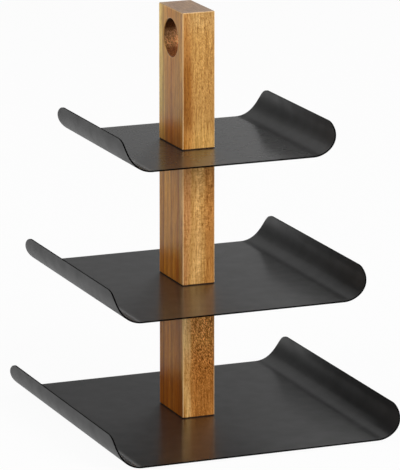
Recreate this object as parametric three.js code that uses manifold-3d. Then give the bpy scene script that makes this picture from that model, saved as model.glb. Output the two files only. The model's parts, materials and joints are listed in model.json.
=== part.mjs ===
// Three-tier serving stand: three bent sheet-metal trays threaded onto a post of three wooden blocks.
// Millimetres, +Z up. The origin is on the table, under the centre of the bottom tray.
// -X is the left side, with one lip of each tray, and -Y is the front.

import * as THREE from 'three';
import { mergeVertices } from 'three/addons/utils/BufferGeometryUtils.js';
import Module from 'manifold-3d';

const wasm = await Module();
wasm.setup();

// Trays: width is across the two lips, depth is from the front edge to the back edge.
const sheet = 1.5;
const bendRadius = 24;
const lipRise = 4;
const lipCorner = 23;
const bottomTrayWidth = 290;
const bottomTrayDepth = 300;
const middleTrayWidth = 255;
const middleTrayDepth = 254;
const topTrayWidth = 214;
const topTrayDepth = 192;

// Where the post stands on each tray, from the tray's own centre.
const bottomPostX = -9.5;
const bottomPostY = 14;
const middlePostX = -2;
const middlePostY = 11.5;
const topPostX = -8;
const topPostY = 2;

// Post: three blocks with the trays clamped between them, and a finger hole in the upper one.
const blockWidth = 33;
const blockDepth = 61;
const lowerBlockLength = 130;
const middleBlockLength = 131;
const upperBlockLength = 132.5;
const edgeEase = 1.2;
const fingerHole = 37;
const fingerHoleDrop = 29;
const fingerHoleEase = 1;

// Hardware: threaded inserts in the block ends, studs and a bolt that screw into them, locating pins.
const studDiameter = 6;
const insertDiameter = 10;
const insertLength = 14;
const insertRelief = 0.5;
const studRelief = 2;
const threadFit = 0.15;
const insertFit = 0.2;
const pinDiameter = 4;
const pinReach = 10;
const pinRelief = 0.5;
const pinEdge = 11.5;
const pinFit = 0.2;
const holeFit = 0.25;
const boltHead = 13;
const boltHeadClearance = 0.8;
const boltSocket = 4;
const boltSocketDepth = 1.1;

// Feet: rubber pads under the flat of the bottom tray.
const footDiameter = 18;
const footHeight = 3;
const footEase = 0.8;
const footInsetX = 14;
const footInsetY = 28;

// Facets of the curves.
const bendSteps = 14;
const cornerSteps = 12;
const roundSteps = 24;
const holeSteps = 48;
const easeSteps = 3;
const overcut = 2;

// Heights up the stack.
const bottomTrayZ = footHeight;
const lowerBlockZ = bottomTrayZ + sheet;
const middleTrayZ = lowerBlockZ + lowerBlockLength;
const middleBlockZ = middleTrayZ + sheet;
const topTrayZ = middleBlockZ + middleBlockLength;
const upperBlockZ = topTrayZ + sheet;

const outerBend = bendRadius + sheet;
const lipHeight = outerBend + lipRise;
const pinY = blockDepth / 2 - pinEdge;
const studReach = insertLength - studRelief;

const steel = { color: 0xb4b7ba, roughness: 0.35, metalness: 1 };
const brass = { color: 0xb79a5b, roughness: 0.35, metalness: 1 };
const blackCoat = { color: 0x1d1d1e, roughness: 0.45, metalness: 0.1 };
const acacia = { color: 0x9a6a3b, roughness: 0.55, metalness: 0 };
const rubber = { color: 0x242424, roughness: 0.9, metalness: 0 };

// Turns a shape drawn in X and Z, and extruded, so that its depth runs along -Y.
const drawnInXZ = new THREE.Matrix4().makeBasis(
  new THREE.Vector3(1, 0, 0),
  new THREE.Vector3(0, 0, 1),
  new THREE.Vector3(0, -1, 0),
);
// Turns a shape drawn in Y and Z, and extruded, so that its depth runs along +X.
const drawnInYZ = new THREE.Matrix4().makeBasis(
  new THREE.Vector3(0, 1, 0),
  new THREE.Vector3(0, 0, 1),
  new THREE.Vector3(1, 0, 0),
);
// Turns a cylinder or lathe from its own Y axis to +Z, or to +X.
const alongZ = drawnInXZ;
const alongX = new THREE.Matrix4().makeBasis(
  new THREE.Vector3(0, 1, 0),
  new THREE.Vector3(1, 0, 0),
  new THREE.Vector3(0, 0, -1),
);

function solidOf(geometry) {
  const bare = geometry.clone();
  bare.deleteAttribute('normal');
  bare.deleteAttribute('uv');
  const merged = mergeVertices(bare, 1e-4);
  return new wasm.Manifold(new wasm.Mesh({
    numProp: 3,
    vertProperties: new Float32Array(merged.attributes.position.array),
    triVerts: new Uint32Array(merged.index.array),
  }));
}

function geometryOf(solid) {
  const mesh = solid.getMesh();
  const geometry = new THREE.BufferGeometry();
  geometry.setAttribute('position', new THREE.BufferAttribute(new Float32Array(mesh.vertProperties), 3));
  geometry.setIndex(new THREE.BufferAttribute(new Uint32Array(mesh.triVerts), 1));
  geometry.computeVertexNormals();
  return geometry;
}

function cut(geometry, cutters) {
  const whole = cutters.reduce((rest, cutter) => rest.subtract(solidOf(cutter)), solidOf(geometry));
  return geometryOf(whole);
}

// An upright round bar from z = low to z = high.
function bar(diameter, low, high, x = 0, y = 0, steps = roundSteps) {
  const geometry = new THREE.CylinderGeometry(diameter / 2, diameter / 2, high - low, steps);
  geometry.applyMatrix4(alongZ);
  return geometry.translate(x, y, (low + high) / 2);
}

function named(name, geometry, look) {
  const mesh = new THREE.Mesh(geometry, new THREE.MeshStandardMaterial(look));
  mesh.name = name;
  return mesh;
}

// Cross-section of a tray: a flat floor whose two sides sweep up through a quarter turn into lips.
function traySection(width) {
  const half = width / 2;
  const flat = half - outerBend;
  const quarter = Math.PI / 2;
  const shape = new THREE.Shape();
  shape.moveTo(-flat, 0);
  shape.lineTo(flat, 0);
  shape.absarc(flat, outerBend, outerBend, -quarter, 0, false);
  shape.lineTo(half, lipHeight);
  shape.lineTo(half - sheet, lipHeight);
  shape.absarc(flat, outerBend, bendRadius, 0, -quarter, true);
  shape.absarc(-flat, outerBend, bendRadius, -quarter, -2 * quarter, true);
  shape.lineTo(sheet - half, lipHeight);
  shape.lineTo(-half, lipHeight);
  shape.absarc(-flat, outerBend, outerBend, 2 * quarter, 3 * quarter, false);
  return shape;
}

// Side view of a tray: straight front and back edges, with the top corners of the lips rounded.
function traySide(depth) {
  const half = depth / 2;
  const corner = Math.min(lipCorner, lipHeight);
  const shape = new THREE.Shape();
  shape.moveTo(-half, -overcut);
  shape.lineTo(half, -overcut);
  shape.absarc(half - corner, lipHeight - corner, corner, 0, Math.PI / 2, false);
  shape.absarc(corner - half, lipHeight - corner, corner, Math.PI / 2, Math.PI, false);
  return shape;
}

// One tray about its own centre, its underside at z = 0, drilled where the post stands.
function trayGeometry(width, depth, postX, postY) {
  const length = depth + 2 * overcut;
  const bent = new THREE.ExtrudeGeometry(traySection(width), {
    depth: length, bevelEnabled: false, curveSegments: bendSteps,
  });
  bent.applyMatrix4(drawnInXZ).translate(0, length / 2, 0);
  const span = width + 2 * overcut;
  const side = new THREE.ExtrudeGeometry(traySide(depth), {
    depth: span, bevelEnabled: false, curveSegments: cornerSteps,
  });
  side.applyMatrix4(drawnInYZ).translate(-span / 2, 0, 0);
  const trimmed = geometryOf(solidOf(bent).intersect(solidOf(side)));
  const low = -overcut;
  const high = sheet + overcut;
  return cut(trimmed, [
    bar(studDiameter + 2 * holeFit, low, high, postX, postY),
    bar(pinDiameter + 2 * pinFit, low, high, postX, postY - pinY),
    bar(pinDiameter + 2 * pinFit, low, high, postX, postY + pinY),
  ]);
}

// One block about the post's axis, its foot at z = 0, every edge eased.
function blockBlank(length) {
  const x = blockWidth / 2 - edgeEase;
  const y = blockDepth / 2 - edgeEase;
  const inner = edgeEase / 2;
  const shape = new THREE.Shape();
  shape.absarc(x - inner, inner - y, inner, -Math.PI / 2, 0, false);
  shape.absarc(x - inner, y - inner, inner, 0, Math.PI / 2, false);
  shape.absarc(inner - x, y - inner, inner, Math.PI / 2, Math.PI, false);
  shape.absarc(inner - x, inner - y, inner, Math.PI, 1.5 * Math.PI, false);
  const geometry = new THREE.ExtrudeGeometry(shape, {
    depth: length - 2 * edgeEase,
    bevelEnabled: true,
    bevelThickness: edgeEase,
    bevelSize: edgeEase,
    bevelSegments: easeSteps,
    curveSegments: easeSteps,
  });
  return geometry.translate(0, 0, edgeEase);
}

// The bores of one block end: the insert's on the axis and one for each locating pin.
function endBores(face, inward) {
  const bore = (diameter, depth, y) => {
    const ends = [face - inward * overcut, face + inward * depth];
    return bar(diameter, Math.min(...ends), Math.max(...ends), 0, y);
  };
  return [
    bore(insertDiameter + 2 * insertFit, insertLength + insertRelief, 0),
    bore(pinDiameter + 2 * pinFit, pinReach + pinRelief, -pinY),
    bore(pinDiameter + 2 * pinFit, pinReach + pinRelief, pinY),
  ];
}

// The finger hole runs through the block from left to right, with both rims eased.
function fingerHoleCutters(length) {
  const z = length - fingerHoleDrop;
  const through = blockWidth + 2 * overcut;
  const hole = new THREE.CylinderGeometry(fingerHole / 2, fingerHole / 2, through, holeSteps);
  const wide = fingerHole / 2 + fingerHoleEase + overcut;
  const narrow = fingerHole / 2 - overcut;
  const rimLength = fingerHoleEase + 2 * overcut;
  const rim = (side) => {
    const [start, end] = side > 0 ? [wide, narrow] : [narrow, wide];
    const cone = new THREE.CylinderGeometry(start, end, rimLength, holeSteps);
    cone.applyMatrix4(alongX);
    return cone.translate(side * (blockWidth / 2 - fingerHoleEase / 2), 0, z);
  };
  return [hole.applyMatrix4(alongX).translate(0, 0, z), rim(1), rim(-1)];
}

// A threaded insert, open right through, standing on z = 0.
function insertGeometry() {
  const tapped = bar(studDiameter + 2 * threadFit, -overcut, insertLength + overcut);
  return cut(bar(insertDiameter, 0, insertLength), [tapped]);
}

// The bolt under the bottom tray: a flat round head with a hexagon socket, its seat at z = 0.
function boltGeometry() {
  const headHeight = footHeight - boltHeadClearance;
  const shank = bar(studDiameter, -headHeight / 2, sheet + studReach);
  const head = bar(boltHead, -headHeight, 0);
  const joined = geometryOf(solidOf(head).add(solidOf(shank)));
  const socketAcrossCorners = boltSocket / Math.cos(Math.PI / 6);
  const socket = bar(socketAcrossCorners, -headHeight - overcut, boltSocketDepth - headHeight, 0, 0, 6);
  return cut(joined, [socket]);
}

// A rubber foot with its lower rim eased, standing on z = 0.
function footGeometry() {
  const radius = footDiameter / 2;
  const profile = [
    new THREE.Vector2(0, 0),
    new THREE.Vector2(radius - footEase, 0),
    new THREE.Vector2(radius, footEase),
    new THREE.Vector2(radius, footHeight),
    new THREE.Vector2(0, footHeight),
  ];
  return new THREE.LatheGeometry(profile, roundSteps).applyMatrix4(alongZ);
}

const stand = new THREE.Group();

// The post's axis, and every piece that is centred on it.
const post = new THREE.Group();
post.position.set(bottomPostX, bottomPostY, 0);
stand.add(post);

const trays = [
  ['bottom_tray', bottomTrayWidth, bottomTrayDepth, bottomPostX, bottomPostY, bottomTrayZ],
  ['middle_tray', middleTrayWidth, middleTrayDepth, middlePostX, middlePostY, middleTrayZ],
  ['top_tray', topTrayWidth, topTrayDepth, topPostX, topPostY, topTrayZ],
];
for (const [name, width, depth, postX, postY, z] of trays) {
  const tray = named(name, trayGeometry(width, depth, postX, postY), blackCoat);
  tray.position.set(-postX, -postY, z);
  post.add(tray);
}

const blocks = [
  ['lower_block', lowerBlockZ, lowerBlockLength],
  ['middle_block', middleBlockZ, middleBlockLength],
  ['upper_block', upperBlockZ, upperBlockLength],
];
for (const [name, z, length] of blocks) {
  const isUpper = name === 'upper_block';
  const cutters = isUpper ? fingerHoleCutters(length) : endBores(length, -1);
  const block = named(name, cut(blockBlank(length), [...endBores(0, 1), ...cutters]), acacia);
  block.position.z = z;
  post.add(block);
}

const inserts = [
  ['lower_foot_insert', lowerBlockZ],
  ['lower_head_insert', middleTrayZ - insertLength],
  ['middle_foot_insert', middleBlockZ],
  ['middle_head_insert', topTrayZ - insertLength],
  ['upper_foot_insert', upperBlockZ],
];
for (const [name, z] of inserts) {
  const insert = named(name, insertGeometry(), brass);
  insert.position.z = z;
  post.add(insert);
}

const studs = [
  ['middle_stud', middleTrayZ],
  ['top_stud', topTrayZ],
];
for (const [name, z] of studs) {
  post.add(named(name, bar(studDiameter, z - studReach, z + sheet + studReach), steel));
}

const bolt = named('base_bolt', boltGeometry(), steel);
bolt.position.z = bottomTrayZ;
post.add(bolt);

// Two pins through each tray keep it and the blocks from turning. The lowest pair ends in the tray.
const pinLevels = [
  ['bottom', bottomTrayZ, bottomTrayZ],
  ['middle', middleTrayZ, middleTrayZ - pinReach],
  ['top', topTrayZ, topTrayZ - pinReach],
];
for (const [level, trayZ, low] of pinLevels) {
  for (const [end, y] of [['front', -pinY], ['back', pinY]]) {
    const geometry = bar(pinDiameter, low, trayZ + sheet + pinReach, 0, y);
    post.add(named(`${level}_pin_${end}`, geometry, steel));
  }
}

const footX = bottomTrayWidth / 2 - outerBend - footInsetX;
const footY = bottomTrayDepth / 2 - footInsetY;
for (const [end, y] of [['front', -footY], ['back', footY]]) {
  for (const [side, x] of [['left', -footX], ['right', footX]]) {
    const foot = named(`foot_${end}_${side}`, footGeometry(), rubber);
    foot.position.set(x, y, 0);
    stand.add(foot);
  }
}

export default stand;
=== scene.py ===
import json
import math

import bmesh
import bpy
from mathutils import Matrix, Vector

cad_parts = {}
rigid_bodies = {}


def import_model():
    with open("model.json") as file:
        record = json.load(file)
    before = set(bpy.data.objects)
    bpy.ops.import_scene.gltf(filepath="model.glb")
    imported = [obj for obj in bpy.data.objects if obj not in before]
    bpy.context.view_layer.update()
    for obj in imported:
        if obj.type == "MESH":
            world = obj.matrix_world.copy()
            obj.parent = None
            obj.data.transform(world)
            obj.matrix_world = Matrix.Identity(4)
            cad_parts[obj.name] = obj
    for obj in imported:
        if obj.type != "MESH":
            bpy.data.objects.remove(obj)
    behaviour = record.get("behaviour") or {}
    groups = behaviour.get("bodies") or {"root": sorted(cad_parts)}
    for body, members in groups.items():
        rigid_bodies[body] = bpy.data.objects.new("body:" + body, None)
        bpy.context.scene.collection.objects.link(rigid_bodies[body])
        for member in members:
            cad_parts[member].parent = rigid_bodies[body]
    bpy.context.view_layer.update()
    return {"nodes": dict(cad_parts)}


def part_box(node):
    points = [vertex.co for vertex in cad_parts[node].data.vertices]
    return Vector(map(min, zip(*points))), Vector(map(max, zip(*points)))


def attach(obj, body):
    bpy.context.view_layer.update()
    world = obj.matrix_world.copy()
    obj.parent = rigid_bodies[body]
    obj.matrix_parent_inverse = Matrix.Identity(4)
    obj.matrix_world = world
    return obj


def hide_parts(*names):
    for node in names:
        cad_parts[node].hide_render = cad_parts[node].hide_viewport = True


# Three-tier serving stand: bent metal trays clamped between the wooden blocks of a post.
# Metres, +Z up, -Y is the front and -X the left.
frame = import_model()
scene = bpy.context.scene
scene.view_settings.view_transform = "Standard"
mm = 0.001
weld = 1e-6  # points closer than this are one point
squareOn = 0.99  # cosine above which a face looks along a direction
up = Vector((0, 0, 1))
quarterTurn = math.pi / 2
fullTurn = 2 * math.pi
noiseSpan = (0.3, 0.7)  # most of a noise lies between these levels
wideSpan = (0.25, 0.75)
print("frame loaded,", len(frame["nodes"]), "nodes")


# Shared node helpers

def newMaterial(name):
    material = bpy.data.materials.new(name)
    material.use_nodes = True
    tree = material.node_tree
    return material, tree, tree.nodes["Principled BSDF"]


def objectPlace(tree, centre=(0, 0, 0), stretch=(1, 1, 1), slant=0):
    # the piece's own coordinates from a centre, slanted about Y in degrees and then stretched
    coords = tree.nodes.new("ShaderNodeTexCoord")
    place = tree.nodes.new("ShaderNodeMapping")
    place.vector_type = "TEXTURE"
    place.inputs["Location"].default_value = centre
    place.inputs["Rotation"].default_value = (0, math.radians(slant), 0)
    place.inputs["Scale"].default_value = [1 / s for s in stretch]
    tree.links.new(coords.outputs["Object"], place.inputs["Vector"])
    return place.outputs["Vector"]


def splitParts(tree, vector):
    node = tree.nodes.new("ShaderNodeSeparateXYZ")
    tree.links.new(vector, node.inputs["Vector"])
    return node.outputs


def noise(tree, place, scale, detail=2.0, roughness=0.5, distortion=0.0):
    texture = tree.nodes.new("ShaderNodeTexNoise")
    texture.inputs["Scale"].default_value = scale
    texture.inputs["Detail"].default_value = detail
    texture.inputs["Roughness"].default_value = roughness
    texture.inputs["Distortion"].default_value = distortion
    tree.links.new(place, texture.inputs["Vector"])
    return texture.outputs["Fac"]


def ramp(tree, factor, stops, smooth=True):
    # stops are (place from 0 to 1, colour or grey level)
    node = tree.nodes.new("ShaderNodeValToRGB")
    node.color_ramp.interpolation = "EASE" if smooth else "LINEAR"
    points = node.color_ramp.elements
    while len(points) < len(stops):
        points.new(0.5)
    for point, (place, colour) in zip(points, stops):
        point.position = place
        point.color = (*colour, 1) if isinstance(colour, tuple) else (colour, colour, colour, 1)
    tree.links.new(factor, node.inputs["Fac"])
    return node.outputs["Color"]


def math2(tree, operation, first, second):
    node = tree.nodes.new("ShaderNodeMath")
    node.operation = operation
    for socket, value in zip(node.inputs, (first, second)):
        if isinstance(value, (int, float)):
            socket.default_value = value
        else:
            tree.links.new(value, socket)
    return node.outputs["Value"]


def rescale(tree, value, low, high, newLow=0.0, newHigh=1.0):
    node = tree.nodes.new("ShaderNodeMapRange")
    for socket, number in zip(node.inputs[1:5], (low, high, newLow, newHigh)):
        socket.default_value = number
    tree.links.new(value, node.inputs["Value"])
    return node.outputs["Result"]


def mixColour(tree, factor, first, second, blend="MIX"):
    node = tree.nodes.new("ShaderNodeMix")
    node.data_type = "RGBA"
    node.blend_type = blend
    sockets = (node.inputs[0], node.inputs[6], node.inputs[7])  # the factor and the two colours
    for socket, value in zip(sockets, (factor, first, second)):
        if isinstance(value, tuple):
            socket.default_value = (*value, 1)
        elif isinstance(value, (int, float)):
            socket.default_value = value
        else:
            tree.links.new(value, socket)
    return node.outputs[2]


def tint(tree, share, colour, tones):
    return mixColour(tree, share, colour, tones, "MULTIPLY")


def vertexMask(tree, name):
    mask = tree.nodes.new("ShaderNodeAttribute")
    mask.attribute_name = name
    return mask.outputs["Fac"]


def addBump(tree, shader, height, strength, distance):
    bump = tree.nodes.new("ShaderNodeBump")
    bump.inputs["Strength"].default_value = strength
    bump.inputs["Distance"].default_value = distance
    tree.links.new(height, bump.inputs["Height"])
    tree.links.new(bump.outputs["Normal"], shader.inputs["Normal"])


# Finishes

coatLook = {
    "dark": (0.008, 0.008, 0.008),
    "pale": (0.014, 0.014, 0.0135),
    "cutEdgeShadeDark": (0.0005, 0.0005, 0.0005),  # the cut edge, darker than the coat: painted shade
    "cutEdgeShadePale": (0.002, 0.002, 0.002),
    "clouds": 14,  # per metre
    "smears": 60,
    "peel": 900,  # bumps of the powder coat
    "speck": [(0.3, 0.8), (0.7, 1.15)],  # brightness over the bumps
    "uneven": 0.04,  # how far the roughness strays
    "bump": 0.02,
    "bumpHeight": 0.2 * mm,
    "skinIndex": 1.5,
    "skinRough": 0.185,
    "skinFade": (0.02, 0.4),  # the skin ends between these shares of a lip's rise
}
coatSides = {
    # gloss level, roughness, share of the smooth skin that use leaves on the flat
    "upper": (0.45, 0.50, 1.0),
    "under": (0.5, 0.50, 0.0),
    "edge": (0.01, 0.40, 0.0),
}


def makeBlackCoat(name, side, dark, pale):
    material, tree, shader = newMaterial(name)
    level, rough, skin = coatSides[side]
    place = objectPlace(tree)
    cloud = noise(tree, place, coatLook["clouds"], detail=3)
    smear = noise(tree, place, coatLook["smears"], detail=3)
    peel = noise(tree, place, coatLook["peel"], roughness=0.6)
    shade = tint(tree, 1.0, mixColour(tree, cloud, dark, pale), ramp(tree, peel, coatLook["speck"]))
    tree.links.new(shade, shader.inputs["Base Color"])
    uneven = rescale(tree, smear, *noiseSpan, rough - coatLook["uneven"], rough + coatLook["uneven"])
    tree.links.new(uneven, shader.inputs["Roughness"])
    shader.inputs["Specular IOR Level"].default_value = level
    if skin:
        wearAndHighlight = rescale(tree, vertexMask(tree, "lipRise"), *coatLook["skinFade"], skin, 0.0)
        tree.links.new(wearAndHighlight, shader.inputs["Coat Weight"])
        shader.inputs["Coat IOR"].default_value = coatLook["skinIndex"]
        shader.inputs["Coat Roughness"].default_value = coatLook["skinRough"]
    addBump(tree, shader, peel, coatLook["bump"], coatLook["bumpHeight"])
    return material


# Each block is cut across its own growth layers. Bands run from the back of the left face
# (place 0.03), round the front left edge (0.6), to the right of the front face (0.97).
woodLook = {
    "layerTurn": -40,  # degrees that the layers are turned about the post
    "reach": 34 * mm,
    "drift": 3.5 * mm,
    "ragged": 1.2 * mm,
    "corner": (0.54, 0.62),  # the left face gives way to the front between these places
    "streakTone": (0.26, 0.094, 0.011),
    "poreShare": (0.35, 0.9),  # on the left face and on the front
    "curlPatch": (0.36, 0.54),
    "curlLeast": 0.1,
    "mottlePatch": (0.3, 0.5),
    "mottleLeast": 0.5,
    "mottlePlace": (0.64, 0.69),  # mottling starts between these places
    "mottleRise": (0.15, 0.4),  # and grows between these shares of the height
    "mottleFoot": 0.35,
    "boreTone": (0.46, 0.28, 0.16),
    "boreShare": 0.7,
    "boreSpeckle": 0.65,
    "boreDepth": 15 * mm,
    "boreShade": (0.60, 1.22),  # painted shade at the left rim, painted light at that depth
    "paintedHighlight": (0.78, 0.53, 0.27),  # painted highlight along the eased edges
    "highlightShare": (0.35, 0.85),
    # painted shade along the edges clamped against a tray
    "contactShade": (0.075, 0.026, 0.010),
    "endTone": (0.51, 0.38, 0.30),
    "endTilt": (0.6, 0.85),  # upright share of the normal from which a face is an end
    "endShare": 0.75,
    "endRings": 0.8,
    "endPores": 0.6,
    "roughLow": 0.26,
    "roughHigh": 0.38,
    "bump": 0.12,
    "bumpHeight": 0.3 * mm,
}
woodGrain = {
    # stretch along X, Y and Z, marks per metre, detail, roughness, distortion, slant in degrees
    "drift": ((1, 1, 0.3), 34, 2, 0.5, 0, 0),
    "border": ((1, 1, 0.06), 260, 2, 0.6, 0, 0),
    "coarse": ((1, 1, 0.025), 300, 3, 0.6, 0.3, 0),
    "fine": ((1, 1, 0.05), 900, 2, 0.7, 0, 0),
    "broad": ((1, 1, 0.015), 110, 3, 0.55, 0, 0),
    "pores": ((1, 1, 0.2), 1050, 1, 0.5, 0, 0),
    "patch": ((1, 1, 0.5), 30, 1, 0.5, 0, 0),
    "curl": ((0.6, 0.6, 1.3), 330, 2, 0.6, 0.8, 0),
    "speckle": ((1, 1, 0.42), 980, 2, 0.7, 0.4, -27),
    "rings": ((1, 0.12, 1), 420, 3, 0.6, 1.2, 0),
}
woodTones = {
    # tints over the levels of the grain, redder where it is dark
    "coarse": [(0.3, (0.86, 0.80, 0.70)), (0.5, 1.0), (0.7, (1.12, 1.15, 1.2))],
    "fine": [(0.3, (0.72, 0.62, 0.46)), (0.5, 1.0), (0.7, (1.28, 1.34, 1.4))],
    "broad": [(0.37, (0.67, 0.59, 0.47)), (0.5, 1.0), (0.63, (1.25, 1.29, 1.32))],
    "pores": [(0.55, 1.0), (0.66, (0.62, 0.50, 0.36))],
    "curl": [(0.36, (0.66, 0.58, 0.46)), (0.5, 1.0), (0.64, (1.26, 1.3, 1.36))],
    "speckle": [(0.40, (0.44, 0.35, 0.26)), (0.5, 1.0), (0.60, (1.9, 2.0, 2.15))],
    "rings": [(0.3, 0.78), (0.7, 1.2)],
    # the dark streak across the layers, and from the foot to the head
    "streakAcross": [(0.585, 0.0), (0.605, 1.0), (0.65, 1.0), (0.69, 0.0)],
    "streakAlong": [(0.1, 0.0), (0.22, 1.0), (0.58, 1.0), (0.7, 0.0)],
    # painted shade and light in the finger hole from its roof to its floor: a dark roof and a lit middle
    "bore": [(0.08, (0.06, 0.025, 0.015)), (0.28, (0.22, 0.14, 0.09)), (0.48, (1.2, 1.15, 1.05)),
             (0.70, (2.0, 1.85, 1.55)), (0.88, (1.0, 0.68, 0.50))],
}
olive = (0.72, 0.450, 0.145)
amber = (0.525, 0.235, 0.034)
mauve = (0.445, 0.190, 0.034)
bark = (0.40, 0.140, 0.014)
walnut = (0.36, 0.140, 0.022)
umber = (0.34, 0.130, 0.026)
russet = (0.37, 0.142, 0.029)
copper = (0.42, 0.185, 0.045)
rose = (0.46, 0.215, 0.074)
honey = (0.48, 0.255, 0.074)
gold = (0.53, 0.292, 0.088)
straw = (0.62, 0.360, 0.130)
# the tints of the left and front faces run from the foot to the head; they hold painted shade at the
# feet and under the trays, and painted light on the lower block's front below the middle tray
upperLook = {
    "bands": [(0.02, olive), (0.10, olive), (0.20, mauve), (0.32, bark), (0.44, mauve), (0.56, amber),
              (0.60, copper), (0.66, copper), (0.71, honey), (0.80, gold), (0.88, honey), (0.97, honey)],
    "lean": 0.03,
    "curl": 0.3,
    "mottle": 0.25,
    # painted shade at the foot of the left face
    "leftLightAndShade": [(0.12, (1.04, 0.86, 0.60)), (0.26, (1.1, 1.18, 1.0))],
    "frontLightAndShade": [(0.04, (1.24, 1.29, 1.26)), (0.22, (0.93, 0.91, 0.85)), (0.8, (0.90, 0.885, 0.83)),
                  (0.95, (0.94, 1.0, 1.14))],
    "streak": 0.85,
    "gloss": 1.25,
}
middleLook = {
    "bands": [(0.02, amber), (0.12, mauve), (0.20, amber), (0.34, mauve), (0.44, amber), (0.49, bark),
              (0.53, gold), (0.59, rose), (0.64, rose), (0.69, honey), (0.78, straw), (0.84, honey),
              (0.89, copper), (0.97, copper)],
    "lean": -0.02,
    "curl": 0.85,
    "mottle": 0.12,
    # painted shade at the foot of the left face and under the top tray
    "leftLightAndShade": [(0.14, (1.04, 0.85, 0.52)), (0.28, (1.14, 1.12, 0.86)), (0.8, (1.10, 1.08, 0.82)),
                 (0.95, (0.94, 0.93, 0.74))],
    "frontLightAndShade": [(0.0, 1.08), (0.4, 1.0)],
    "streak": 0.0,
    "gloss": 1.19,
}
lowerLook = {
    "bands": [(0.02, bark), (0.14, walnut), (0.24, bark), (0.34, walnut), (0.46, bark), (0.51, umber),
              (0.57, umber), (0.60, gold), (0.63, straw), (0.665, copper), (0.71, russet), (0.82, umber),
              (0.88, russet), (0.97, umber)],
    "lean": 0.02,
    "curl": 0.55,
    "mottle": 1.0,
    # painted shade at the foot of the left face; painted light on the front growing towards the head,
    # below the middle tray
    "leftLightAndShade": [(0.20, (0.94, 0.74, 0.42)), (0.42, (1.09, 1.11, 0.70))],
    "frontLightAndShade": [(0.0, (1.12, 1.14, 1.18)), (0.2, 0.96), (0.38, 0.96), (0.47, (1.04, 1.09, 1.22)),
                  (0.58, (1.22, 1.40, 1.68)), (0.69, (1.40, 1.62, 2.1)), (0.95, (1.95, 2.3, 3.0))],
    "streak": 0.0,
    "gloss": 1.13,
}


def grainOf(tree, centre, kind):
    stretch, scale, detail, roughness, distortion, slant = woodGrain[kind]
    place = objectPlace(tree, centre, stretch, slant)
    return noise(tree, place, scale, detail, roughness, distortion)


def grainTones(tree, centre, kind):
    return ramp(tree, grainOf(tree, centre, kind), woodTones[kind])


def layerPlace(tree, centre, lean, border):
    # place across the layers, which drift along the length and have ragged borders
    turn = math.radians(woodLook["layerTurn"])
    across = tree.nodes.new("ShaderNodeVectorMath")
    across.operation = "DOT_PRODUCT"
    across.inputs[1].default_value = (math.cos(turn), math.sin(turn), lean)
    tree.links.new(objectPlace(tree, centre), across.inputs[0])
    slow = grainOf(tree, centre, "drift")
    drift = rescale(tree, slow, *wideSpan, -woodLook["drift"], woodLook["drift"])
    ragged = rescale(tree, border, *wideSpan, -woodLook["ragged"], woodLook["ragged"])
    place = math2(tree, "ADD", across.outputs["Value"], math2(tree, "ADD", drift, ragged))
    return rescale(tree, place, -woodLook["reach"], woodLook["reach"])


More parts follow.
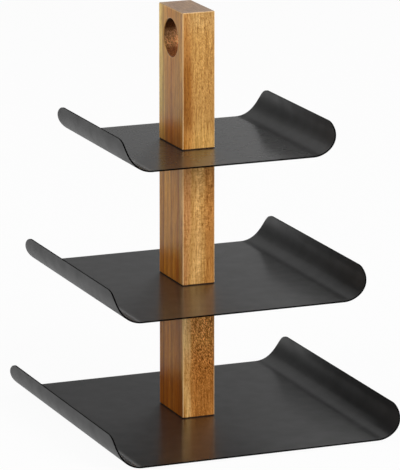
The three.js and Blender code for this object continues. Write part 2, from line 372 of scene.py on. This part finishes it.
def makeAcacia(name, node, look):
    low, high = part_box(node)
    centre = (low + high) / 2
    material, tree, shader = newMaterial(name)
    fromCentre = splitParts(tree, objectPlace(tree, centre))
    along = rescale(tree, fromCentre["Z"], low.z - centre.z, high.z - centre.z)
    border = grainOf(tree, centre, "border")
    patch = grainOf(tree, centre, "patch")
    layer = layerPlace(tree, centre, look["lean"], border)
    onFront = rescale(tree, layer, *woodLook["corner"])
    colour = ramp(tree, layer, look["bands"], smooth=False)
    # painted light and shade along the block, and a dark streak by the front left edge
    leftLightAndShade = ramp(tree, along, look["leftLightAndShade"])
    frontLightAndShade = ramp(tree, along, look["frontLightAndShade"])
    colour = tint(tree, 1.0, colour, mixColour(tree, onFront, leftLightAndShade, frontLightAndShade))
    if look["streak"]:
        strip = ramp(tree, layer, woodTones["streakAcross"])
        length = ramp(tree, along, woodTones["streakAlong"])
        dark = math2(tree, "MULTIPLY", strip, math2(tree, "MULTIPLY", length, look["streak"]))
        colour = mixColour(tree, dark, colour, woodLook["streakTone"])
    # grain lines drawn out along the post, coarse then fine
    colour = tint(tree, 1.0, colour, grainTones(tree, centre, "coarse"))
    fine = grainOf(tree, centre, "fine")
    colour = tint(tree, 1.0, colour, ramp(tree, fine, woodTones["fine"]))
    # broad streaks on the left face, where the layers are cut on edge
    streaks = mixColour(tree, onFront, grainTones(tree, centre, "broad"), (1.0, 1.0, 1.0))
    colour = tint(tree, 1.0, colour, streaks)
    # short dark pores, closer on the front, where the layers are cut flat
    pores = grainTones(tree, centre, "pores")
    poreShare = rescale(tree, onFront, 0.0, 1.0, *woodLook["poreShare"])
    colour = tint(tree, poreShare, colour, pores)
    # curly figure across the grain, in patches
    curlShare = rescale(tree, patch, *woodLook["curlPatch"], woodLook["curlLeast"], look["curl"])
    curlShare = math2(tree, "MULTIPLY", onFront, curlShare)
    colour = tint(tree, curlShare, colour, grainTones(tree, centre, "curl"))
    # close mottling on the front, less at the foot
    speckle = grainTones(tree, centre, "speckle")
    mottleFoot = woodLook["mottleFoot"] * look["mottle"]
    mottle = rescale(tree, along, *woodLook["mottleRise"], mottleFoot, look["mottle"])
    mottle = math2(tree, "MULTIPLY", mottle, rescale(tree, layer, *woodLook["mottlePlace"]))
    inPatch = rescale(tree, patch, *woodLook["mottlePatch"], woodLook["mottleLeast"], 1.0)
    mottle = math2(tree, "MULTIPLY", mottle, inPatch)
    colour = tint(tree, mottle, colour, speckle)
    # the finger hole's bored wall in its own paler speckled tone, with painted shade at the roof and the
    # left rim and painted light deeper in
    coords = tree.nodes.new("ShaderNodeTexCoord")
    facing = splitParts(tree, coords.outputs["Normal"])
    onBore = vertexMask(tree, "boredWall")
    bored = mixColour(tree, woodLook["boreShare"], colour, woodLook["boreTone"])
    bored = tint(tree, woodLook["boreSpeckle"], bored, speckle)
    roofToFloor = rescale(tree, facing["Z"], -1.0, 1.0)
    bored = tint(tree, 1.0, bored, ramp(tree, roofToFloor, woodTones["bore"]))
    rim = low.x - centre.x
    depth = rescale(tree, fromCentre["X"], rim, rim + woodLook["boreDepth"], *woodLook["boreShade"])
    bored = tint(tree, 1.0, bored, depth)
    colour = mixColour(tree, onBore, colour, bored)
    # painted highlight on the eased edges, and painted shade along the edges clamped against a tray
    wearAndHighlight = rescale(tree, border, *noiseSpan, *woodLook["highlightShare"])
    edge = math2(tree, "MULTIPLY", vertexMask(tree, "highlightedEdge"), wearAndHighlight)
    colour = mixColour(tree, edge, colour, woodLook["paintedHighlight"])
    colour = mixColour(tree, vertexMask(tree, "contactShadeEdge"), colour, woodLook["contactShade"])
    # end grain on the faces that look up and down
    upright = math2(tree, "ABSOLUTE", facing["Z"], 0.0)
    isEnd = rescale(tree, upright, *woodLook["endTilt"])
    isEnd = math2(tree, "MULTIPLY", isEnd, math2(tree, "SUBTRACT", 1.0, onBore))
    endColour = mixColour(tree, woodLook["endShare"], colour, woodLook["endTone"])
    endColour = tint(tree, woodLook["endRings"], endColour, grainTones(tree, centre, "rings"))
    endColour = tint(tree, woodLook["endPores"], endColour, pores)
    colour = mixColour(tree, isEnd, colour, endColour)
    tree.links.new(colour, shader.inputs["Base Color"])
    rough = rescale(tree, fine, *noiseSpan, woodLook["roughHigh"], woodLook["roughLow"])
    tree.links.new(rough, shader.inputs["Roughness"])
    shader.inputs["IOR"].default_value = look["gloss"]
    relief = math2(tree, "ADD", fine, pores)
    addBump(tree, shader, relief, woodLook["bump"], woodLook["bumpHeight"])
    return material


steelLook = {
    "dark": (0.36, 0.37, 0.38),
    "pale": (0.56, 0.57, 0.58),
    "metallic": 1.0,
    "rough": (0.25, 0.42),
    "wear": 350,  # marks per metre
    "grain": 1800,
    "grainDetail": 2,
    "bump": 0.05,
    "bumpHeight": 0.1 * mm,
}
brassLook = {
    **steelLook,
    "dark": (0.50, 0.36, 0.14),
    "pale": (0.68, 0.52, 0.24),
    "rough": (0.22, 0.38),
}
rubberLook = {
    "dark": (0.012, 0.012, 0.012),
    "pale": (0.035, 0.034, 0.033),
    "metallic": 0.0,
    "rough": (0.7, 0.9),
    "wear": 120,
    "grain": 1500,
    "grainDetail": 3,
    "bump": 0.2,
    "bumpHeight": 0.2 * mm,
}


def makePlain(name, look):
    # one tone worn in patches, with a fine grain
    material, tree, shader = newMaterial(name)
    place = objectPlace(tree)
    wearAndHighlight = noise(tree, place, look["wear"], detail=4, roughness=0.6)
    tree.links.new(mixColour(tree, wearAndHighlight, look["dark"], look["pale"]), shader.inputs["Base Color"])
    shader.inputs["Metallic"].default_value = look["metallic"]
    tree.links.new(rescale(tree, wearAndHighlight, *noiseSpan, *look["rough"]), shader.inputs["Roughness"])
    grain = noise(tree, place, look["grain"], look["grainDetail"])
    addBump(tree, shader, grain, look["bump"], look["bumpHeight"])
    return material


satinCoat = makeBlackCoat("satinCoat", "upper", coatLook["dark"], coatLook["pale"])
mattCoat = makeBlackCoat("mattCoat", "under", coatLook["dark"], coatLook["pale"])
# the cut edge's coat carries painted shade
cutEdgeShadeCoat = makeBlackCoat("cutEdgeShadeCoat", "edge", coatLook["cutEdgeShadeDark"], coatLook["cutEdgeShadePale"])
steel = makePlain("zincSteel", steelLook)
brass = makePlain("turnedBrass", brassLook)
rubber = makePlain("padRubber", rubberLook)
print("finishes made")


# Shared mesh helpers

def finishPiece(name, bm, material, nodes):
    for face in bm.faces:
        face.smooth = True
    mesh = bpy.data.meshes.new(name)
    bm.to_mesh(mesh)
    bm.free()
    mesh.materials.append(material)
    piece = bpy.data.objects.new(name, mesh)
    scene.collection.objects.link(piece)
    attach(piece, "root")
    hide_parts(*nodes)
    return piece


def easeEdges(piece, width, segments, angle):
    bevel = piece.modifiers.new("easedEdges", "BEVEL")
    bevel.width = width
    bevel.segments = segments
    bevel.limit_method = "ANGLE"
    bevel.angle_limit = math.radians(angle)
    bevel.harden_normals = True


def evenShading(piece):
    even = piece.modifiers.new("evenShading", "WEIGHTED_NORMAL")
    even.keep_sharp = True


def closeUp(bm):
    bmesh.ops.remove_doubles(bm, verts=bm.verts[:], dist=weld)
    bmesh.ops.recalc_face_normals(bm, faces=bm.faces[:])


def quarterArc(steps):
    return [quarterTurn * step / steps for step in range(steps + 1)]


def easedRim(ease, steps):
    # (distance from the side, rise) pairs of a rounded rim
    return [(ease * (1 - math.sin(a)), ease * (1 - math.cos(a))) for a in quarterArc(steps)]


def circleEdges(bm, centre, radius, axis, steps):
    turn = axis.to_track_quat("Z", "Y").to_matrix().to_4x4()
    ring = bmesh.ops.create_circle(bm, segments=steps, radius=radius,
                                   matrix=Matrix.Translation(centre) @ turn)
    return list({edge for vert in ring["verts"] for edge in vert.link_edges})


def spinProfile(bm, centre, axis, profile, steps):
    # profile holds (radius, distance along the axis) pairs
    side = axis.orthogonal().normalized()
    dots = [bm.verts.new(centre + side * radius + axis * along) for radius, along in profile]
    edges = [bm.edges.new(pair) for pair in zip(dots, dots[1:])]
    bmesh.ops.spin(bm, geom=dots + edges, cent=centre, axis=axis, angle=fullTurn,
                   steps=steps, use_merge=True)


def ringEdges(bm, centre, axis, radius):
    # the ring of a spun profile that lies in the plane through centre
    def onRing(vert):
        arm = vert.co - centre
        return abs(arm.dot(axis)) < weld and abs(arm.length - radius) < 10 * weld
    return [edge for edge in bm.edges if all(onRing(vert) for vert in edge.verts)]


def openFace(bm, normal):
    # takes out the largest face that looks along normal, and gives its edges
    faces = [face for face in bm.faces if face.normal.dot(normal) > squareOn]
    largest = max(faces, key=lambda face: face.calc_area())
    edges = largest.edges[:]
    bmesh.ops.delete(bm, geom=[largest], context="FACES_ONLY")
    return edges


# Trays

trayShape = {
    "sheet": 1.5 * mm,
    "bend": 24 * mm,  # inside radius
    "bendSteps": 24,
    "bendMargin": 2 * mm,  # the flat's last row of points lies this far from the bend
    "cutTolerance": 1e-7,
    "lipCorner": 23 * mm,
    "cornerSteps": 20,
    "edgeEase": 0.25 * mm,
    "edgeSteps": 3,
    "edgeAngle": 50,
    "studHole": 3.25 * mm,
    "pinHole": 2.2 * mm,
    "holeSteps": 36,
}


def foldTray(name, node, pins):
    # the first of pins is the stud or bolt
    low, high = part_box(node)
    sheet = trayShape["sheet"]
    fold = trayShape["bend"] + sheet / 2
    halfDepth = (high.y - low.y) / 2
    flat = (high.x - low.x) / 2 - sheet / 2 - fold
    lip = high.z - low.z - sheet / 2
    centre = (low + high) / 2
    # the blank is drawn flat, its lips as tall as they will stand
    bm = bmesh.new()
    lipMask = bm.verts.layers.float.new("lipRise")
    bmesh.ops.create_grid(bm, x_segments=1, y_segments=1, size=1)
    bmesh.ops.scale(bm, vec=(flat + lip, halfDepth, 1), verts=bm.verts[:])
    bmesh.ops.bevel(bm, geom=bm.verts[:], offset=trayShape["lipCorner"], offset_type="OFFSET",
                    segments=trayShape["cornerSteps"], profile=0.5, affect="VERTICES", material=-1)
    stations = [flat - trayShape["bendMargin"]]
    stations += [flat + fold * (1 - math.cos(a)) for a in quarterArc(trayShape["bendSteps"])]
    for station in stations:
        for side in (-1, 1):
            bmesh.ops.bisect_plane(bm, geom=bm.verts[:] + bm.edges[:] + bm.faces[:],
                                   dist=trayShape["cutTolerance"],
                                   plane_co=(side * station, 0, 0), plane_no=(1, 0, 0))
    # holes for the two pins and the stud
    edges = openFace(bm, up)
    places = [(pin, trayShape["pinHole"]) for pin in pins[1:]] + [(pins[0], trayShape["studHole"])]
    for pin, radius in places:
        pinLow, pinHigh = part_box(pin)
        spot = (pinLow + pinHigh) / 2 - centre
        spot.z = 0
        edges += circleEdges(bm, spot, radius, up, trayShape["holeSteps"])
    bmesh.ops.triangle_fill(bm, edges=edges, use_beauty=True, normal=up)
    # fold both lips up
    for vert in bm.verts:
        rise = abs(vert.co.x) - flat
        if rise > 0:
            swing = math.sqrt(fold ** 2 - (fold - rise) ** 2) if rise < fold else fold
            vert.co.x = math.copysign(flat + swing, vert.co.x)
            vert.co.z = rise
            vert[lipMask] = rise / lip
    closeUp(bm)
    floorFace = max(bm.faces, key=lambda face: face.calc_area())
    if floorFace.normal.z < 0:
        bmesh.ops.reverse_faces(bm, faces=bm.faces[:])
    bmesh.ops.translate(bm, vec=(centre.x, centre.y, low.z + sheet / 2), verts=bm.verts[:])
    # one coat for the upper side, one for the under side and one for the cut edge, darkened as painted
    # shade
    tray = finishPiece(name, bm, satinCoat, [node])
    tray.data.materials.append(mattCoat)
    tray.data.materials.append(cutEdgeShadeCoat)
    wall = tray.modifiers.new("sheetThickness", "SOLIDIFY")
    wall.thickness = sheet
    wall.offset = 0
    wall.use_even_offset = True
    wall.material_offset = 1
    wall.material_offset_rim = 2
    easeEdges(tray, trayShape["edgeEase"], trayShape["edgeSteps"], trayShape["edgeAngle"])


bottomPins = ["bottom_pin_front", "bottom_pin_back"]
middlePins = ["middle_pin_front", "middle_pin_back"]
topPins = ["top_pin_front", "top_pin_back"]
foldTray("bottomTray", "bottom_tray", ["base_bolt", *bottomPins])
foldTray("middleTray", "middle_tray", ["middle_stud", *middlePins])
foldTray("topTray", "top_tray", ["top_stud", *topPins])
print("trays folded")


# Post

blockShape = {
    "ease": 1.2 * mm,
    "easeSteps": 5,
    "insertBore": 5.2 * mm,
    "insertDepth": 14.5 * mm,
    "pinBore": 2.2 * mm,
    "pinDepth": 10.5 * mm,
    "boreSteps": 32,
    "boreEase": 0.4 * mm,
}
holeShape = {
    "radius": 18.5 * mm,
    "drop": 29 * mm,  # from the top of the post to the middle of the hole
    "ease": 1.2 * mm,
    "easeSteps": 5,
    "steps": 72,
    "highlightFrom": 0.02,  # shares of the ease between which the rim gets the painted highlight
    "highlightTo": 0.9,
    # strength of the painted highlight on the rim
    "paintedHighlight": 0.4,
}


def blindBore(bm, centre, axis, radius, depth):
    ease = blockShape["boreEase"]
    profile = [(radius + ease, 0), (radius, ease), (radius, depth), (0, depth)]
    spinProfile(bm, centre, axis, profile, blockShape["boreSteps"])
    return ringEdges(bm, centre, axis, radius + ease)


def boreEnd(bm, low, high, face, axis, pins):
    # an insert's bore on the axis and a pin's bore before and behind it
    spot = Vector(((low.x + high.x) / 2, (low.y + high.y) / 2, face))
    edges = openFace(bm, -axis)
    edges += blindBore(bm, spot, axis, blockShape["insertBore"], blockShape["insertDepth"])
    for pin in pins:
        pinLow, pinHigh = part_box(pin)
        pinSpot = Vector((spot.x, (pinLow.y + pinHigh.y) / 2, face))
        edges += blindBore(bm, pinSpot, axis, blockShape["pinBore"], blockShape["pinDepth"])
    bmesh.ops.triangle_fill(bm, edges=edges, use_beauty=True, normal=-axis)


def fingerHole(bm, low, high, highlightMask, wallMask):
    # from the left face to the right face
    across = Vector((1, 0, 0))
    width = high.x - low.x
    radius, ease = holeShape["radius"], holeShape["ease"]
    spot = Vector((low.x, (low.y + high.y) / 2, high.z - holeShape["drop"]))
    # eased rim, straight wall, eased rim
    rim = [(radius + cut, along) for cut, along in easedRim(ease, holeShape["easeSteps"])]
    profile = rim + [(r, width - along) for r, along in reversed(rim)]
    old = set(bm.verts)
    spinProfile(bm, spot, across, profile, holeShape["steps"])
    # the rim gets the painted highlight, the wall inside is marked as bored
    highlightFrom = ease * holeShape["highlightFrom"]
    highlightTo = ease * holeShape["highlightTo"]
    for vert in set(bm.verts) - old:
        inward = min(vert.co.x - low.x, high.x - vert.co.x)
        vert[wallMask] = 1.0 if inward > highlightTo else 0.0
        vert[highlightMask] = holeShape["paintedHighlight"] if highlightFrom < inward < highlightTo else 0.0
    for face, side in ((spot, -across), (spot + across * width, across)):
        edges = openFace(bm, side) + ringEdges(bm, face, across, radius + ease)
        bmesh.ops.triangle_fill(bm, edges=edges, use_beauty=True, normal=side)


def shapeBlock(name, node, finish, footPins, headPins, hasHole):
    low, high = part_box(node)
    ease = blockShape["ease"]
    bm = bmesh.new()
    highlightMask = bm.verts.layers.float.new("highlightedEdge")
    wallMask = bm.verts.layers.float.new("boredWall")
    contactShadeMask = bm.verts.layers.float.new("contactShadeEdge")
    bmesh.ops.create_cube(bm, size=1)
    bmesh.ops.scale(bm, vec=high - low, verts=bm.verts[:])
    bmesh.ops.translate(bm, vec=(low + high) / 2, verts=bm.verts[:])
    eased = bmesh.ops.bevel(bm, geom=bm.edges[:], offset=ease, offset_type="OFFSET",
                            segments=blockShape["easeSteps"], profile=0.5, affect="EDGES", material=-1)
    strip = set(eased["faces"])
    # the upright edges and the head get a painted highlight, the edges clamped against a tray get
    # painted shade
    headLimit = high.z - ease if headPins else high.z
    for vert in eased["verts"]:
        if strip.issuperset(vert.link_faces):
            isOpen = low.z + ease < vert.co.z + weld < headLimit + 2 * weld
            vert[highlightMask if isOpen else contactShadeMask] = 1.0
    bm.normal_update()
    boreEnd(bm, low, high, low.z, up, footPins)
    if headPins:
        boreEnd(bm, low, high, high.z, -up, headPins)
    if hasHole:
        fingerHole(bm, low, high, highlightMask, wallMask)
    closeUp(bm)
    evenShading(finishPiece(name, bm, finish, [node]))


lowerWood = makeAcacia("lowerAcacia", "lower_block", lowerLook)
middleWood = makeAcacia("middleAcacia", "middle_block", middleLook)
upperWood = makeAcacia("upperAcacia", "upper_block", upperLook)
shapeBlock("lowerBlock", "lower_block", lowerWood, bottomPins, middlePins, False)
shapeBlock("middleBlock", "middle_block", middleWood, middlePins, topPins, False)
shapeBlock("upperBlock", "upper_block", upperWood, topPins, [], True)
print("post built")


# Feet

footShape = {
    "ease": 0.9 * mm,
    "easeSteps": 5,
    "topEase": 0.2 * mm,
    "dish": 0.4 * mm,
    "dishRim": 6.4 * mm,
    "dishSlope": 1 * mm,
    "steps": 48,
}


def turnFoot(name, node):
    low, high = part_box(node)
    radius = (high.x - low.x) / 2
    height = high.z - low.z
    dish, rim = footShape["dish"], footShape["dishRim"]
    topEase = footShape["topEase"]
    centre = Vector(((low.x + high.x) / 2, (low.y + high.y) / 2, low.z))
    # from the dished underside round the rim to the top
    profile = [(0, dish), (rim - footShape["dishSlope"], dish), (rim, 0)]
    rounded = easedRim(footShape["ease"], footShape["easeSteps"])
    profile += [(radius - cut, rise) for cut, rise in rounded]
    profile += [(radius, height - topEase), (radius - topEase, height), (0, height)]
    bm = bmesh.new()
    spinProfile(bm, centre, up, profile, footShape["steps"])
    closeUp(bm)
    evenShading(finishPiece(name, bm, rubber, [node]))


turnFoot("footFrontLeft", "foot_front_left")
turnFoot("footFrontRight", "foot_front_right")
turnFoot("footBackLeft", "foot_back_left")
turnFoot("footBackRight", "foot_back_right")
print("feet turned")


# Hardware that stays as the frame has it

def coatNode(node, material):
    for piece in bpy.data.objects:
        if piece.name == node:
            for slot in piece.material_slots:
                slot.material = material


for node in frame["nodes"]:
    if node.endswith("_insert"):
        coatNode(node, brass)
    elif node.endswith("_stud") or "_pin_" in node or node == "base_bolt":
        coatNode(node, steel)
print("hardware finished")


# Floor, light and camera

floorLook = {
    "size": 30.0,  # from the middle to a side
    "tone": 0.8,
    "fleck": 0.01,
    "grain": 40,  # marks per metre
    "rough": 0.9,
    "gloss": 0.1,
    "glow": 0.95,
}
skyRings = [
    # sine of the elevation, brightness
    (0.07, 0.05),  # dark skirt
    (0.17, 0.52),  # strip lights
    (0.27, 0.02),  # dark gap
    (0.38, 0.02),
    (0.46, 0.38),  # softboxes
    (0.65, 0.10),  # shade
    (0.90, 0.30),  # dim ceiling
]
lamps = [
    # name, azimuth from the front towards the right, elevation, distance, size, watts, seen in the coat
    ("keyLamp", 20, 24, 2.8, 1.4, 69, False),
    ("backLamp", 138, 29, 2.4, 1.0, 7, True),
    ("rimLamp", -150, 45, 2.4, 1.2, 8, True),
    ("leftLamp", -75, 22, 2.6, 1.2, 22, False),
]
lampAim = Vector((0, 0, 0.2))
viewpoint = {
    "place": (-1.50967, -3.72891, 1.16617),
    "azimuth": 22.02,
    "pitch": 13.77,
    "lens": 331.37,
    "clipEnd": 60,
}


def makeFloor():
    material, tree, shader = newMaterial("paleFloor")
    tone, fleck = floorLook["tone"], floorLook["fleck"]
    grain = noise(tree, objectPlace(tree), floorLook["grain"], detail=3)
    colour = mixColour(tree, grain, (tone - fleck,) * 3, (tone + fleck,) * 3)
    tree.links.new(colour, shader.inputs["Base Color"])
    shader.inputs["Roughness"].default_value = floorLook["rough"]
    shader.inputs["Specular IOR Level"].default_value = floorLook["gloss"]
    light = tree.nodes.new("ShaderNodeLightPath")
    seen = math2(tree, "MAXIMUM", light.outputs["Is Camera Ray"], light.outputs["Is Glossy Ray"])
    seen = math2(tree, "MAXIMUM", seen, light.outputs["Is Transmission Ray"])
    seen = math2(tree, "MULTIPLY", seen, floorLook["glow"])
    glow = tree.nodes.new("ShaderNodeEmission")
    blend = tree.nodes.new("ShaderNodeMixShader")
    tree.links.new(seen, blend.inputs[0])
    tree.links.new(shader.outputs[0], blend.inputs[1])
    tree.links.new(glow.outputs[0], blend.inputs[2])
    tree.links.new(blend.outputs[0], tree.nodes["Material Output"].inputs["Surface"])
    bm = bmesh.new()
    bmesh.ops.create_grid(bm, x_segments=1, y_segments=1, size=floorLook["size"])
    mesh = bpy.data.meshes.new("floor")
    bm.to_mesh(mesh)
    bm.free()
    mesh.materials.append(material)
    floor = bpy.data.objects.new("floor", mesh)
    scene.collection.objects.link(floor)


def makeSky():
    world = bpy.data.worlds.new("studio")
    scene.world = world
    world.use_nodes = True
    tree = world.node_tree
    coords = tree.nodes.new("ShaderNodeTexCoord")
    parts = splitParts(tree, coords.outputs["Generated"])
    tree.links.new(ramp(tree, parts["Z"], skyRings), tree.nodes["Background"].inputs["Color"])


def hangLamp(name, azimuth, elevation, distance, size, watts, mirrored):
    lamp = bpy.data.lights.new(name, "AREA")
    lamp.shape = "SQUARE"
    lamp.size = size
    lamp.energy = watts
    holder = bpy.data.objects.new(name, lamp)
    scene.collection.objects.link(holder)
    turn, lift = math.radians(azimuth), math.radians(elevation)
    arm = Vector((math.sin(turn) * math.cos(lift), -math.cos(turn) * math.cos(lift), math.sin(lift)))
    holder.location = lampAim + arm * distance
    holder.rotation_euler = arm.to_track_quat("Z", "Y").to_euler()
    holder.visible_glossy = mirrored


def setCamera():
    camera = bpy.data.cameras.new("photoCamera")
    camera.lens = viewpoint["lens"]
    camera.clip_end = viewpoint["clipEnd"]
    holder = bpy.data.objects.new("photoCamera", camera)
    holder.location = viewpoint["place"]
    tilt = math.radians(90 - viewpoint["pitch"])
    holder.rotation_euler = (tilt, 0, -math.radians(viewpoint["azimuth"]))
    scene.collection.objects.link(holder)
    scene.camera = holder


makeFloor()
makeSky()
for lamp in lamps:
    hangLamp(*lamp)
setCamera()
print("floor, lamps and camera set")
